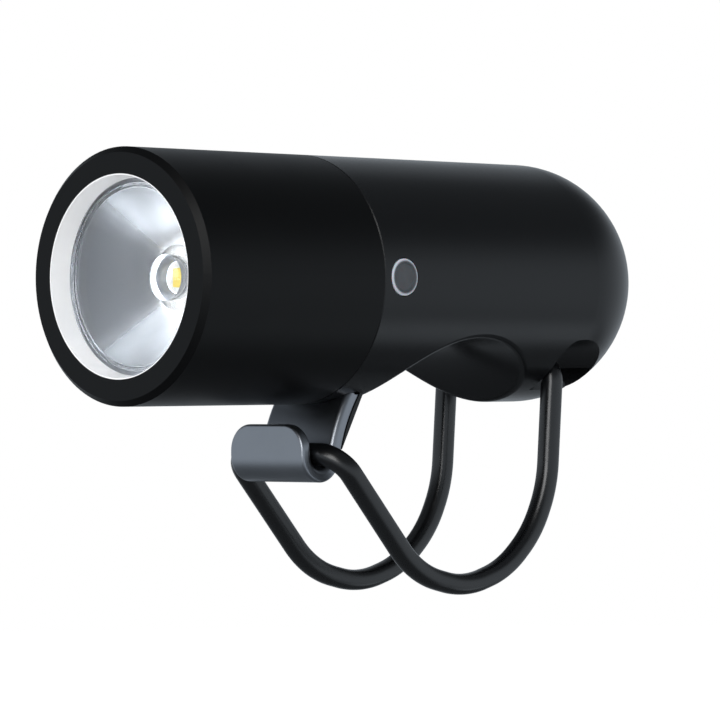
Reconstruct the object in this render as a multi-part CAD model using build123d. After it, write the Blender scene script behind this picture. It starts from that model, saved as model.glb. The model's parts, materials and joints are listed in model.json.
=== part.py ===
"""Bicycle headlight held on the handlebar by a rubber band.

A tube-shaped light: a turned head with a deep clear optic, a moulded rear body with a domed
end, a saddle in its underside for the handlebar, a hook below the front and a notch at the
rear. A closed rubber band runs from the notch, round under the bar, and into the hook.

Each piece is drawn on the light's own axis, where the front face is at zero, +Y runs to the
rear and +Z is up. Every piece is then moved, so that the origin is the handlebar's axis.
Lengths are in millimetres.
"""

import os
from math import asin, cos, pi, radians, sin, sqrt, tan

from build123d import *

# The handlebar that the light sits on
bar_diameter = 31.8
saddle_clearance = 0.1
saddle_setback = 5.34
saddle_headroom = 0.46

# Tube, shared by head and body
tube_diameter = 30.0
front_chamfer = 0.68
seam_chamfer = 0.25
dome_setback = 3.83

# Head shell
head_wall = 1.6
lip_depth = 1.0
front_ring_width = 3.29

# Collar round the lens
collar_rim = 0.15
collar_setback = 0.08
collar_taper = 0.26
lens_recess = 2.8
fit_gap = 0.05

# Optic
optic_flange_inset = 1.1
optic_flange_width = 1.2
optic_flange_thickness = 2.0
optic_length = 12.6
optic_base_share = 0.351
cavity_diameter = 5.4
cavity_depth = 3.8
cavity_crown = 0.8

# Lens seal, between the collar's seat and the optic's flange
lens_seal_section = 0.9

# Light source and what carries it
led_size = 3.45
led_thickness = 0.7
led_dome_diameter = 2.6
led_board_thickness = 1.4
holder_gap = 0.3
holder_wall = 1.2
holder_clearance = 0.5
thermal_pad_inset = 4.0
thermal_pad_thickness = 0.5
heat_sink_thickness = 3.4
heat_sink_groove = 0.8
board_screw_inset = 2.2
board_screw_diameter = 1.8
board_screw_head_diameter = 3.2
board_screw_head_height = 0.9
board_screw_length = 5.0

# Driver board behind the heat sink
driver_board_inset = 1.4
driver_board_thickness = 0.8
driver_clearance = 0.6
standoff_height = 1.2
standoff_diameter = 3.0
standoff_inset = 4.0
inductor_size = 5.2
inductor_height = 2.4
inductor_corner = 0.65
driver_chip_size = 4.0
driver_chip_height = 0.9

# Body shell
body_wall = 1.5
spigot_length = 4.6
spigot_wall = 1.5
seam_shoulder = 1.2
seal_groove_width = 1.6
seal_groove_depth = 0.75
seal_groove_setback = 1.5
saddle_edge_radius = 0.9
boss_height = 4.4
boss_length = 6.6
ledge_width = 2.6
ledge_height = 1.1

# Notch at the rear, where the band goes over a tongue
notch_setback = 1.64
notch_headroom = 0.65
notch_width = 9.55
notch_height_share = 0.66
notch_crown_share = 0.28
notch_fall_share = 0.27
notch_bow_share = 0.25
notch_rear_drop = 3.45
tongue_length = 6.8
tongue_width = 13.0
tongue_tip = 0.6
notch_overrun = 3.0

# Hook below the front
hook_lead = 1.9
hook_drop = 6.05
hook_thickness = 1.65
trough_clearance = 0.23
hook_width = 12.4
lip_height = 3.75
lip_corner_radius = 3.2
stem_bend_radius = 19.0
foot_lean = 10.0
hook_tongue_length = 2.9
hook_inner_edge = 0.7
hook_outer_edge = 0.35
hook_pin_diameter = 1.5
hook_pin_length = 11.0
hook_pin_inset = 1.2
rib_foot_lean = 14.0
rib_setback = 0.85

# Rubber band, one closed loop of round section
band_section = 2.65
band_spread = 18.0
band_rear_bend = 2.4
band_front_bend = 3.2
band_rear_lead = 1.7
band_rear_share = 0.555
# Corners of the band's side view as shares of the saddle's radius, from the bar's axis
band_corner_shares = [(0.992, -0.140), (0.816, -0.494), (0.495, -0.770), (0.034, -0.898), (-0.499, -0.770)]
# How much of the shorter run beside a corner its bend takes
bend_run_share = 0.46

# Push button on the right side
button_diameter = 4.4
button_setback = 3.4
button_gap = 0.1
button_proud = 0.1
button_dish = 0.12
button_edge = 0.25
button_travel = 0.5
button_flange = 0.5
button_flange_thickness = 0.6
button_pad_inset = 2.0
button_gasket_width = 0.65

# Main board and its parts
board_thickness = 1.0
board_clearance = 0.4
board_rear_gap = 1.23
board_tail_width = 11.0
board_tail_length = 5.5
board_taper = 6.0
switch_length = 4.4
switch_height = 6.0
switch_foot = 1.2
switch_thickness = 3.2
switch_plunger_diameter = 2.0
switch_plunger_length = 1.6
status_led_size = 1.6
status_led_height = 0.8
charge_chip_size = 4.0
charge_chip_height = 0.9
header_width = 8.0
header_height = 2.4
header_length = 2.1

# Cell, with what holds it
cell_bed = 0.45
cell_headroom = 0.95
cell_lead = 1.4
cell_rear_gap = 2.28
cell_edge = 0.5
cradle_width = 7.0
cradle_height = 1.5
cradle_end_gap = 3.0
top_pad_width = 7.0
top_pad_end_gap = 6.0
tab_width = 4.0
tab_thickness = 0.15
tab_reach = 2.0

# Charging port and its cover
port_width = 8.94
port_height = 3.26
port_length = 7.35
port_wall = 0.35
port_corner_share = 0.488
port_socket_depth = 6.2
port_clearance = 0.2
port_setback = 0.4
port_tongue_width = 6.69
port_tongue_thickness = 0.7
port_tongue_length = 4.5
cover_width = 10.6
cover_height = 5.2
cover_corner = 1.6
cover_gap = 0.15
cover_inset = 2.3
cover_drop = 0.1
anchor_width = 4.0
anchor_height = 1.3
anchor_gap = 0.2

# Cuts run this far past what they open
overrun = 2.0

# Radii, worked out from the sizes above
tube_radius = tube_diameter / 2
saddle_radius = bar_diameter / 2 + saddle_clearance
head_bore_radius = tube_radius - head_wall
body_bore_radius = tube_radius - body_wall
spigot_radius = head_bore_radius - fit_gap
spigot_bore_radius = spigot_radius - spigot_wall
opening_radius = tube_radius - front_ring_width
lip_hole_radius = opening_radius + collar_rim
flange_radius = head_bore_radius - optic_flange_inset
mouth_radius = flange_radius - optic_flange_width
base_radius = mouth_radius * optic_base_share
cavity_radius = cavity_diameter / 2
holder_bore_radius = base_radius + holder_gap
holder_radius = holder_bore_radius + holder_wall
board_screw_pitch = holder_radius + holder_clearance + board_screw_head_diameter / 2
led_board_radius = board_screw_pitch + board_screw_inset
thermal_pad_radius = led_board_radius - thermal_pad_inset
driver_board_radius = head_bore_radius - driver_board_inset
standoff_pitch = driver_board_radius - standoff_inset

# Depths of the stack in the head, which the head's length follows
optic_front = lens_recess + fit_gap
flange_rear = optic_front + optic_flange_thickness
optic_rear = optic_front + optic_length
led_board_front = optic_rear + led_thickness + fit_gap
led_board_rear = led_board_front + led_board_thickness
sink_front = led_board_rear + thermal_pad_thickness
sink_rear = sink_front + heat_sink_thickness
driver_front = sink_rear + standoff_height
driver_rear = driver_front + driver_board_thickness
spigot_front = driver_rear + driver_clearance
head_length = spigot_front + spigot_length

# Heights in the body: the board clears the switch, and the saddle and the notch clear the board
board_drop = switch_height / 2 + switch_foot
board_top = -board_drop
board_bottom = board_top - board_thickness
board_half = sqrt((spigot_bore_radius - board_clearance) ** 2 - board_bottom**2)
axis_height = saddle_radius + saddle_headroom + body_wall - board_bottom
saddle_half = sqrt(saddle_radius**2 - (axis_height - tube_radius) ** 2)
notch_roof = notch_headroom + body_wall - board_bottom
notch_height = (tube_radius - notch_roof) * notch_height_share
notch_floor = notch_roof + notch_height
boss_top = tube_radius - boss_height

# Depths in the body, each from the piece before it
button_depth = head_length + button_setback
saddle_front = head_length + saddle_setback
bar_depth = saddle_front + saddle_half
notch_front = bar_depth + saddle_half + notch_setback
dome_centre_depth = notch_front + dome_setback
dome_end = dome_centre_depth + tube_radius
cover_floor = dome_end - cover_inset
port_mouth = cover_floor - port_setback
port_axis = board_top + port_height / 2
board_front = driver_rear + header_length
board_rear = cover_floor - body_wall - board_rear_gap

# Band and hook
band_radius = band_section / 2
band_rear_depth = notch_front + band_rear_lead
band_rear_drop = notch_roof + notch_height * band_rear_share
hook_centre_depth = head_length - hook_lead
hook_centre_drop = tube_radius + hook_drop
trough_radius = band_radius + trough_clearance
hook_outer_radius = trough_radius + hook_thickness
stem_front_radius = stem_bend_radius + hook_thickness / 2
stem_rear_radius = stem_bend_radius - hook_thickness / 2
stem_reach = trough_radius + stem_front_radius
foot_turn = radians(foot_lean)
stem_turn = asin((hook_drop + stem_reach * sin(foot_turn)) / stem_rear_radius)

# Button and cell
button_radius = button_diameter / 2
button_pad = tube_radius - button_pad_inset
button_pocket_radius = button_radius + button_flange + button_gap * 2 + button_gasket_width
cell_radius = (body_bore_radius + board_drop - cell_bed - cell_headroom) / 2
cell_rise = cell_radius + cell_bed - board_drop
cell_front = button_depth + switch_length / 2 + cell_lead
cell_rear = port_mouth - port_length - cell_rear_gap

written = []


def across(depth):
    """The plane square to the light's axis at a depth, with +Z up the sketch."""
    return Plane(origin=(0, depth, 0), x_dir=(-1, 0, 0), z_dir=(0, 1, 0))


def disc(radius, start, end, right=0, up=0):
    """A round plate square to the light's axis."""
    round_face = across(start) * Pos(-right, up) * Circle(radius)
    return extrude(round_face, end - start)


def ring(outer, inner, start, end):
    """A flat ring round the light's axis."""
    return disc(outer, start, end) - disc(inner, start, end)


def block(low, high):
    """A box between two corners, each given as (right, depth, up)."""
    size = [b - a for a, b in zip(low, high)]
    return Pos(*low) * Box(*size, align=(Align.MIN, Align.MIN, Align.MIN))


def turned(*edges):
    """A solid of revolution round the light's axis, from edges in (radius, depth)."""
    return revolve(make_face(edges), Axis.Y)


def turned_outline(points):
    """A solid of revolution from straight edges in (radius, depth)."""
    return turned(*Polyline(*points, close=True).edges())


def side_cut(edges, width):
    """A side view in (depth, up), made as wide as asked, centred on the light."""
    return extrude(Plane.YZ * make_face(edges), width / 2, both=True)


def right_disc(radius, start, end, depth, up=0):
    """A round plate that faces right, as the button does."""
    face = Plane(origin=(start, depth, up), x_dir=(0, 1, 0), z_dir=(1, 0, 0)) * Circle(radius)
    return extrude(face, end - start)


def slot_block(width, height, start, end, up, corner):
    """A bar along the light's axis with rounded corners."""
    face = across(start) * Pos(0, up) * RectangleRounded(width, height, corner)
    return extrude(face, end - start)


def finish(name, solid):
    """Moves a piece so that the bar's axis is the origin, and writes it."""
    moved = Pos(0, -bar_depth, axis_height) * solid
    export_step(moved, os.path.join("parts", name + ".step"))
    written.append((name, moved))


def quarter_arc(start, corner, end):
    """The quarter circle that rounds a square corner from one side to the other."""
    centre = [a + b - c for a, b, c in zip(start, end, corner)]
    middle = [m + (c - m) * cos(radians(45)) for m, c in zip(centre, corner)]
    return ThreePointArc(start, tuple(middle), end)


def head_shell():
    """The turned front tube, with its lip round the lens."""
    return turned_outline(
        [
            (lip_hole_radius, 0),
            (tube_radius - front_chamfer, 0),
            (tube_radius, front_chamfer),
            (tube_radius, head_length),
            (head_bore_radius, head_length),
            (head_bore_radius, lip_depth),
            (lip_hole_radius, lip_depth),
        ]
    )


def lens_collar():
    """The satin white ring that lines the opening and presses on the optic."""
    seat_radius = head_bore_radius - fit_gap
    return turned_outline(
        [
            (opening_radius, collar_setback),
            (lip_hole_radius, collar_setback),
            (lip_hole_radius, lip_depth),
            (seat_radius, lip_depth),
            (seat_radius, flange_rear - fit_gap),
            (seat_radius - collar_rim, flange_rear - fit_gap),
            (seat_radius - collar_rim, lens_recess),
            (opening_radius - collar_taper, lens_recess),
        ]
    )


def optic():
    """The clear moulded optic: flat front, flange, cone, and a cavity with a crowned lens."""
    cavity_top = optic_rear - cavity_depth
    crown_top = cavity_top + cavity_crown
    outline = Polyline(
        (0, optic_front),
        (flange_radius, optic_front),
        (flange_radius, flange_rear),
        (mouth_radius, flange_rear),
        (base_radius, optic_rear),
        (cavity_radius, optic_rear),
        (cavity_radius, cavity_top),
    )
    crown_radius = (cavity_radius**2 + cavity_crown**2) / (2 * cavity_crown)
    half_turn = asin(cavity_radius / crown_radius) / 2
    crown_point = (crown_radius * sin(half_turn), crown_top - crown_radius * (1 - cos(half_turn)))
    crown = ThreePointArc((cavity_radius, cavity_top), crown_point, (0, crown_top))
    return turned(*outline.edges(), crown, Line((0, crown_top), (0, optic_front)))


def lens_seal():
    """The rubber ring round the optic's flange."""
    outer = head_bore_radius - fit_gap - collar_rim
    return ring(outer, flange_radius, optic_front, optic_front + lens_seal_section)


def optic_holder():
    """The white cup round the optic's cone, from its flange to the light source's board."""
    start = flange_rear + fit_gap
    return turned_outline(
        [
            (mouth_radius + holder_gap, start),
            (mouth_radius + holder_gap + holder_wall, start),
            (holder_radius, optic_rear),
            (holder_radius, led_board_front),
            (holder_bore_radius, led_board_front),
            (holder_bore_radius, optic_rear),
        ]
    )


def led():
    """The light source: a square plate with a low round dome over the die."""
    half = led_size / 2
    base_front = led_board_front - led_thickness / 2
    base = block((-half, base_front, -half), (half, led_board_front, half))
    return base + disc(led_dome_diameter / 2, led_board_front - led_thickness, base_front)


def screw_places():
    """Where the two board screws stand, right and left of the axis."""
    return [-board_screw_pitch, board_screw_pitch]


def led_board():
    """The round metal-core board under the light source."""
    board = disc(led_board_radius, led_board_front, led_board_rear)
    for right in screw_places():
        board -= disc(board_screw_diameter / 2, led_board_front, led_board_rear, right)
    return board


def board_screw(right):
    """One screw through the light source's board into the heat sink."""
    head_front, tip = led_board_front - board_screw_head_height, led_board_front + board_screw_length
    head = disc(board_screw_head_diameter / 2, head_front, led_board_front, right)
    return head + disc(board_screw_diameter / 2, led_board_front, tip, right)


def heat_sink():
    """The aluminium plug pressed into the head, grooved round its rim."""
    middle = (sink_front + sink_rear) / 2
    start, end = middle - heat_sink_groove, middle + heat_sink_groove
    plug = disc(head_bore_radius, sink_front, sink_rear)
    plug -= ring(head_bore_radius, head_bore_radius - heat_sink_groove, start, end)
    for right in screw_places():
        plug -= disc(board_screw_diameter / 2, sink_front, led_board_front + board_screw_length, right)
    return plug


def driver_board():
    """The round driver board behind the heat sink."""
    return disc(driver_board_radius, driver_front, driver_rear)


def standoff(up):
    """One spacer between the heat sink and the driver board."""
    return disc(standoff_diameter / 2, sink_rear, driver_front, 0, up)


def inductor():
    """The driver's coil, a square block with cut corners."""
    face = across(driver_rear) * Pos(0, driver_board_radius / 2) * Rectangle(inductor_size, inductor_size)
    body = extrude(face, inductor_height)
    return chamfer(body.edges().filter_by(Axis.Y), inductor_corner)


def driver_chip():
    """The driver's control chip."""
    half = driver_chip_size / 2
    right = driver_board_radius / 2
    return block((right - half, driver_rear, -half), (right + half, driver_rear + driver_chip_height, half))


def board_header():
    """The connector from the driver board to the main board's front edge."""
    half, thick = header_width / 2, header_height / 2
    middle = (board_top + board_bottom) / 2
    return block((-half, driver_rear, middle - thick), (half, board_front, middle + thick))


def on_stem(radius, lean):
    """The point of the stem's bend at a radius, where the stem leans rearward by an angle."""
    depth = hook_centre_depth + stem_reach * cos(foot_turn)
    up = -hook_centre_drop - stem_reach * sin(foot_turn)
    return (depth - radius * cos(lean), up + radius * sin(lean))


def on_trough(radius, angle):
    """The point of the hook's trough at a radius, at an angle from straight down, rearward."""
    return (hook_centre_depth + radius * sin(angle), -hook_centre_drop - radius * cos(angle))


def hook_side(tongue):
    """Edges of the hook's side view: lip, trough, leaning stem, and the tongue in the body."""
    y, z = hook_centre_depth, -hook_centre_drop
    lip_top = z + lip_height
    trough_end = pi / 2 - foot_turn
    trough_middle = (trough_end - pi / 2) / 2
    half_turn = (foot_turn + stem_turn) / 2
    along = (sin(stem_turn) * tongue, cos(stem_turn) * tongue)
    front_top, rear_top = on_stem(stem_front_radius, stem_turn), on_stem(stem_rear_radius, stem_turn)
    front_end = (front_top[0] + along[0], front_top[1] + along[1])
    rear_end = (rear_top[0] + along[0], rear_top[1] + along[1])
    inner_foot, outer_foot = on_trough(trough_radius, trough_end), on_trough(hook_outer_radius, trough_end)
    edges = [
        ThreePointArc((y - trough_radius, z), on_trough(trough_radius, trough_middle), inner_foot),
        ThreePointArc(inner_foot, on_stem(stem_front_radius, half_turn), front_top),
        Line(front_top, front_end),
        Line(front_end, rear_end),
        Line(rear_end, rear_top),
        ThreePointArc(rear_top, on_stem(stem_rear_radius, half_turn), outer_foot),
        ThreePointArc(outer_foot, on_trough(hook_outer_radius, trough_middle), (y - hook_outer_radius, z)),
        Line((y - hook_outer_radius, z), (y - hook_outer_radius, lip_top)),
        Line((y - hook_outer_radius, lip_top), (y - trough_radius, lip_top)),
        Line((y - trough_radius, lip_top), (y - trough_radius, z)),
    ]
    return edges, (front_end, rear_end)


def hook_pin_place():
    """The pin's centre in the side view, on the middle of the hook's tongue."""
    _, (front_end, rear_end) = hook_side(hook_tongue_length - hook_pin_inset)
    return ((front_end[0] + rear_end[0]) / 2, (front_end[1] + rear_end[1]) / 2)


def hook_pin():
    """The steel pin that locks the hook's tongue in the body."""
    depth, up = hook_pin_place()
    return right_disc(hook_pin_diameter / 2, -hook_pin_length / 2, hook_pin_length / 2, depth, up)


def strap_hook():
    """The grey hook that holds the band's front, with its tongue set in the body."""
    edges, _ = hook_side(hook_tongue_length)
    hook = side_cut(edges, hook_width)
    lip_top = -hook_centre_drop + lip_height
    corners = [e for e in hook.edges().filter_by(Axis.Y) if abs((e @ 0.5).Z - lip_top) < fit_gap]
    hook = fillet(corners, lip_corner_radius)
    hook = fillet(hook_rim(hook, trough_radius), hook_inner_edge)
    hook = fillet(hook_rim(hook, hook_outer_radius), hook_outer_edge)
    depth, up = hook_pin_place()
    return hook - right_disc(hook_pin_diameter / 2, -hook_width, hook_width, depth, up)


def hook_rim(hook, radius):
    """The hook's two edges along the ends of its trough, on the inside or the outside."""
    rims = []
    for edge in hook.edges().filter_by(GeomType.CIRCLE):
        middle = edge @ 0.5
        from_centre = sqrt((middle.Y - hook_centre_depth) ** 2 + (middle.Z + hook_centre_drop) ** 2)
        at_end = abs(abs(middle.X) - hook_width / 2) < fit_gap
        if at_end and abs(from_centre - radius) < fit_gap:
            rims.append(edge)
    return rims


def saddle_cylinder(radius):
    """The handlebar's space, across under the light."""
    return right_disc(radius, -tube_diameter, tube_diameter, bar_depth, -axis_height)


def notch_cut():
    """The notch for the band: open to both sides, and open below behind the tongue."""
    front, floor, roof = notch_front, -notch_floor, -notch_roof
    rear = front + notch_width
    tip = front + tongue_length
    below = -tube_radius - overrun
    crown = notch_width * notch_crown_share
    roof_middle = (
        (front + crown + rear) / 2 + notch_rear_drop * notch_bow_share,
        roof - notch_rear_drop * notch_fall_share,
    )
    outline = [
        Line((front, floor), (front, roof - crown)),
        quarter_arc((front, roof - crown), (front, roof), (front + crown, roof)),
        ThreePointArc((front + crown, roof), roof_middle, (rear, roof - notch_rear_drop)),
        Line((rear, roof - notch_rear_drop), (rear + notch_overrun / 2, below)),
        Line((rear + notch_overrun / 2, below), (tip, below)),
        Line((tip, below), (tip, floor - tongue_tip)),
        quarter_arc((tip, floor - tongue_tip), (tip, floor), (tip - tongue_tip, floor)),
        Line((tip - tongue_tip, floor), (front, floor)),
    ]
    cut = side_cut(outline, tube_diameter * 2)
    side_slot = block(
        (tongue_width / 2, front, below),
        (tube_diameter, tip + overrun, floor + tongue_tip),
    )
    return cut + side_slot + mirror(side_slot, Plane.YZ)


def body_cavity():
    """The space inside the body, above the saddle and the notch."""
    start, shoulder = spigot_front, head_length + seam_shoulder
    slope = body_bore_radius - spigot_bore_radius
    walls = Polyline(
        (0, start),
        (spigot_bore_radius, start),
        (spigot_bore_radius, shoulder),
        (body_bore_radius, shoulder + slope),
        (body_bore_radius, dome_centre_depth),
    )
    pole = dome_centre_depth + body_bore_radius
    dome = quarter_arc((body_bore_radius, dome_centre_depth), (body_bore_radius, pole), (0, pole))
    space = turned(*walls.edges(), dome, Line((0, pole), (0, start)))
    space -= saddle_cylinder(saddle_radius + body_wall)
    space -= block(
        (-tube_diameter, notch_front - body_wall, -tube_diameter),
        (tube_diameter, dome_end, -notch_roof + body_wall),
    )
    space -= block(
        (-tube_diameter, head_length + seam_shoulder, -tube_diameter),
        (tube_diameter, head_length + boss_length, -boss_top),
    )
    space -= block(
        (-tube_diameter, cover_floor - body_wall, -tube_diameter),
        (tube_diameter, dome_end + overrun, tube_diameter),
    )
    for side in (1, -1):
        low = board_half - ledge_width / 2
        ledge = block(
            (low, head_length + boss_length, board_bottom - ledge_height),
            (tube_radius, cell_rear, board_bottom),
        )
        space -= ledge if side > 0 else mirror(ledge, Plane.YZ)
    return space - right_disc(button_pocket_radius, button_pad, tube_radius, button_depth)


def cover_outline(gap):
    """The cover's rounded outline as a bar through the dome's end."""
    up = port_axis - cover_drop
    return slot_block(
        cover_width + 2 * gap,
        cover_height + 2 * gap,
        cover_floor,
        dome_end + overrun,
        up,
        cover_corner,
    )


def anchor_space(gap):
    """The slot below the cover for the rubber tab that it hangs on."""
    top = port_axis - cover_drop - cover_height / 2 - anchor_gap
    half = anchor_width / 2
    return block((-half, cover_floor, top - anchor_height), (half, dome_end, top + gap))


def rib():
    """The black rib behind the hook's stem, which runs down from the body."""
    low_turn = radians(rib_foot_lean)
    top, low = on_stem(stem_rear_radius, stem_turn), on_stem(stem_rear_radius, low_turn)
    below = (saddle_front - rib_setback, -tube_radius)
    inner_up = -boss_top - hook_thickness
    slope = (below[0] - low[0]) / (below[1] - low[1])
    inner_rear = (below[0] + (inner_up - below[1]) * slope, inner_up)
    outline = [
        ThreePointArc(low, on_stem(stem_rear_radius, (stem_turn + low_turn) / 2), top),
        Line(top, (top[0], inner_up)),
        Line((top[0], inner_up), inner_rear),
        Line(inner_rear, low),
    ]
    return side_cut(outline, hook_width)


def body_shell():
    """The moulded rear body, from its spigot in the head to the dome."""
    walls = Polyline(
        (0, spigot_front),
        (spigot_radius, spigot_front),
        (spigot_radius, head_length),
        (tube_radius - seam_chamfer, head_length),
        (tube_radius, head_length + seam_chamfer),
        (tube_radius, dome_centre_depth),
    )
    dome = quarter_arc((tube_radius, dome_centre_depth), (tube_radius, dome_end), (0, dome_end))
    shell = turned(*walls.edges(), dome, Line((0, dome_end), (0, spigot_front)))
    groove_start = spigot_front + seal_groove_setback
    groove_end = groove_start + seal_groove_width
    shell -= ring(spigot_radius, spigot_radius - seal_groove_depth, groove_start, groove_end)
    shell -= saddle_cylinder(saddle_radius)
    rim = [e for e in shell.edges() if on_saddle_rim(e)]
    shell = fillet(rim, saddle_edge_radius)
    shell += rib()
    shell -= notch_cut()
    shell -= body_cavity()
    edges, _ = hook_side(hook_tongue_length)
    shell -= side_cut(edges, hook_width)
    depth, up = hook_pin_place()
    shell -= right_disc(hook_pin_diameter / 2, -hook_pin_length / 2, hook_pin_length / 2, depth, up)
    shell -= right_disc(button_pocket_radius, spigot_bore_radius - overrun, button_pad, button_depth)
    shell -= right_disc(button_radius + button_gap, button_pad - overrun, tube_radius + overrun, button_depth)
    shell -= cover_outline(cover_gap)
    shell -= anchor_space(0)
    shell -= slot_block(
        port_width + 2 * port_clearance,
        port_height + 2 * port_clearance,
        cover_floor - body_wall - overrun,
        cover_floor + overrun,
        port_axis,
        port_height / 2,
    )
    return shell


def on_saddle_rim(edge):
    """True for an edge where the bar's space leaves the tube."""
    point = edge @ 0.5
    from_bar = sqrt((point.Y - bar_depth) ** 2 + (point.Z + axis_height) ** 2)
    from_axis = sqrt(point.X**2 + point.Z**2)
    return abs(from_bar - saddle_radius) < fit_gap and abs(from_axis - tube_radius) < fit_gap


def seam_seal():
    """The rubber ring in the spigot's groove."""
    start = spigot_front + seal_groove_setback
    return ring(head_bore_radius, spigot_radius - seal_groove_depth, start, start + seal_groove_width)


def widest_bend(before, corner, after):
    """The bend radius that uses a fixed share of the shorter run beside a corner."""
    first = Vector(corner[0] - before[0], corner[1] - before[1])
    second = Vector(after[0] - corner[0], after[1] - corner[1])
    turn = radians(first.get_angle(second))
    return bend_run_share * min(first.length, second.length) / tan(turn / 2)


def band_path():
    """The band's centre line on the right half, from the notch round to the hook."""
    half = band_spread / 2
    rear = (band_rear_depth, -band_rear_drop)
    front = (hook_centre_depth, -hook_centre_drop)
    corners = [
        (bar_depth + saddle_radius * share[0], -axis_height + saddle_radius * share[1])
        for share in band_corner_shares
    ]
    side = [rear, *corners, front]
    bends = [widest_bend(*three) for three in zip(side, side[1:], side[2:])]
    print("band: bend radii", [round(bend, 1) for bend in bends])
    points = [(0, *rear), *[(half, *point) for point in side], (0, *front)]
    return FilletPolyline(*points, radius=[band_rear_bend, *bends, band_front_bend])


def band():
    """The closed rubber band, two mirrored halves of one tube."""
    path = band_path()
    start = Plane(origin=path @ 0, z_dir=path % 0)
    half = sweep(start * Circle(band_radius), path=path)
    share = half.volume / (path.length * pi * band_radius**2)
    print("band: half length", round(path.length, 2), "volume against section by length", round(share, 4))
    return half + mirror(half, Plane.YZ)


def power_button():
    """The translucent push button, with the flange that keeps it in."""
    face = tube_radius + button_proud
    flange_end = button_pad - button_gap
    flange_start = flange_end - button_flange_thickness
    cap = right_disc(button_radius, flange_start, face, button_depth)
    outer_edge = cap.edges().sort_by(Axis.X)[-1]
    cap = fillet(outer_edge, button_edge)
    dish_radius = ((button_radius - button_edge) ** 2 + button_dish**2) / (2 * button_dish)
    cap -= Pos(face + dish_radius - button_dish, button_depth, 0) * Sphere(dish_radius)
    return cap + right_disc(button_radius + button_flange, flange_start, flange_end, button_depth)


def button_gasket():
    """The rubber ring on the pad round the button's flange."""
    inner = button_pocket_radius - button_gasket_width - button_gap
    start = button_pad - button_flange_thickness
    outer = right_disc(button_pocket_radius, start, button_pad, button_depth)
    return outer - right_disc(inner, start, button_pad, button_depth)


def plunger_tip():
    """How far right the switch's plunger reaches, which the button stops at when pressed."""
    return button_pad - button_gap - button_flange_thickness - button_travel - fit_gap


def tact_switch():
    """The switch's housing, standing on the main board's right edge."""
    right = plunger_tip() - switch_plunger_length
    left = right - switch_thickness
    start, end = button_depth - switch_length / 2, button_depth + switch_length / 2
    body = block((left, start, -switch_height / 2), (right, end, switch_height / 2))
    foot = block((left, start, board_top), (left + switch_thickness / 2, end, -switch_height / 2))
    return body + foot


def switch_plunger():
    """The switch's round plunger."""
    tip = plunger_tip()
    return right_disc(switch_plunger_diameter / 2, tip - switch_plunger_length, tip, button_depth)


def main_board():
    """The main circuit board, narrowed at the rear to carry the port."""
    half, tail = board_half, board_tail_width / 2
    taper_end = board_rear - board_tail_length
    taper_start = taper_end - board_taper
    outline = Polyline(
        (-half, board_front),
        (half, board_front),
        (half, taper_start),
        (tail, taper_end),
        (tail, board_rear),
        (-tail, board_rear),
        (-tail, taper_end),
        (-half, taper_start),
        close=True,
    )
    return Pos(0, 0, board_bottom) * extrude(make_face(outline.edges()), board_thickness)


def on_board(right, depth, width, length, height):
    """A block standing on the main board's top."""
    return block(
        (right - width / 2, depth - length / 2, board_top),
        (right + width / 2, depth + length / 2, board_top + height),
    )


def status_led():
    """The small indicator that shines through the button."""
    right = board_half - status_led_size
    depth = button_depth + switch_length / 2 + status_led_size
    return on_board(right, depth, status_led_size / 2, status_led_size, status_led_height)


def charge_chip():
    """The charging chip, left of the switch."""
    return on_board(-board_half / 2, button_depth, charge_chip_size, charge_chip_size, charge_chip_height)


def battery_cell():
    """The round cell, with its raised pole at the front."""
    cell = disc(cell_radius, cell_front, cell_rear, 0, cell_rise)
    rims = cell.edges().filter_by(GeomType.CIRCLE)
    return fillet(rims, cell_edge)


def cell_cradle():
    """The foam bed between the board and the cell."""
    start, end = cell_front + cradle_end_gap, cell_rear - cradle_end_gap
    half = cradle_width / 2
    bed = block((-half, start, board_top), (half, end, board_top + cradle_height))
    return bed - disc(cell_radius, start, end, 0, cell_rise)


def cell_top_pad():
    """The foam strip between the cell and the body's roof."""
    start, end = cell_front + top_pad_end_gap, cell_rear - top_pad_end_gap
    half = top_pad_width / 2
    strip = block((-half, start, cell_rise), (half, end, tube_radius))
    return (strip & disc(body_bore_radius, start, end)) - disc(cell_radius, start, end, 0, cell_rise)


def cell_tab(start):
    """A nickel strip from a pole of the cell down to the board."""
    half = tab_width / 2
    return block((-half, start, board_top), (half, start + tab_thickness, cell_rise + tab_reach))


def usb_port():
    """The charging port's metal shell, a rounded tube closed at its inner end."""
    start, corner = port_mouth - port_length, port_height * port_corner_share
    shell = slot_block(port_width, port_height, start, port_mouth, port_axis, corner)
    width, height = port_width - 2 * port_wall, port_height - 2 * port_wall
    start, corner = port_mouth - port_socket_depth, height * port_corner_share
    return shell - slot_block(width, height, start, port_mouth + overrun, port_axis, corner)


def usb_tongue():
    """The contact tongue inside the port."""
    start = port_mouth - port_socket_depth
    half, thick = port_tongue_width / 2, port_tongue_thickness / 2
    return block((-half, start, port_axis - thick), (half, start + port_tongue_length, port_axis + thick))


def dome_solid():
    """The dome as a full ball, to trim what lies flush with it."""
    return Pos(0, dome_centre_depth, 0) * Sphere(tube_radius)


def port_cover():
    """The rubber cover over the port, flush with the dome."""
    return cover_outline(0) & dome_solid()


def cover_anchor():
    """The rubber tab below the cover, set in its slot in the dome."""
    return anchor_space(0) & dome_solid()


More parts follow.
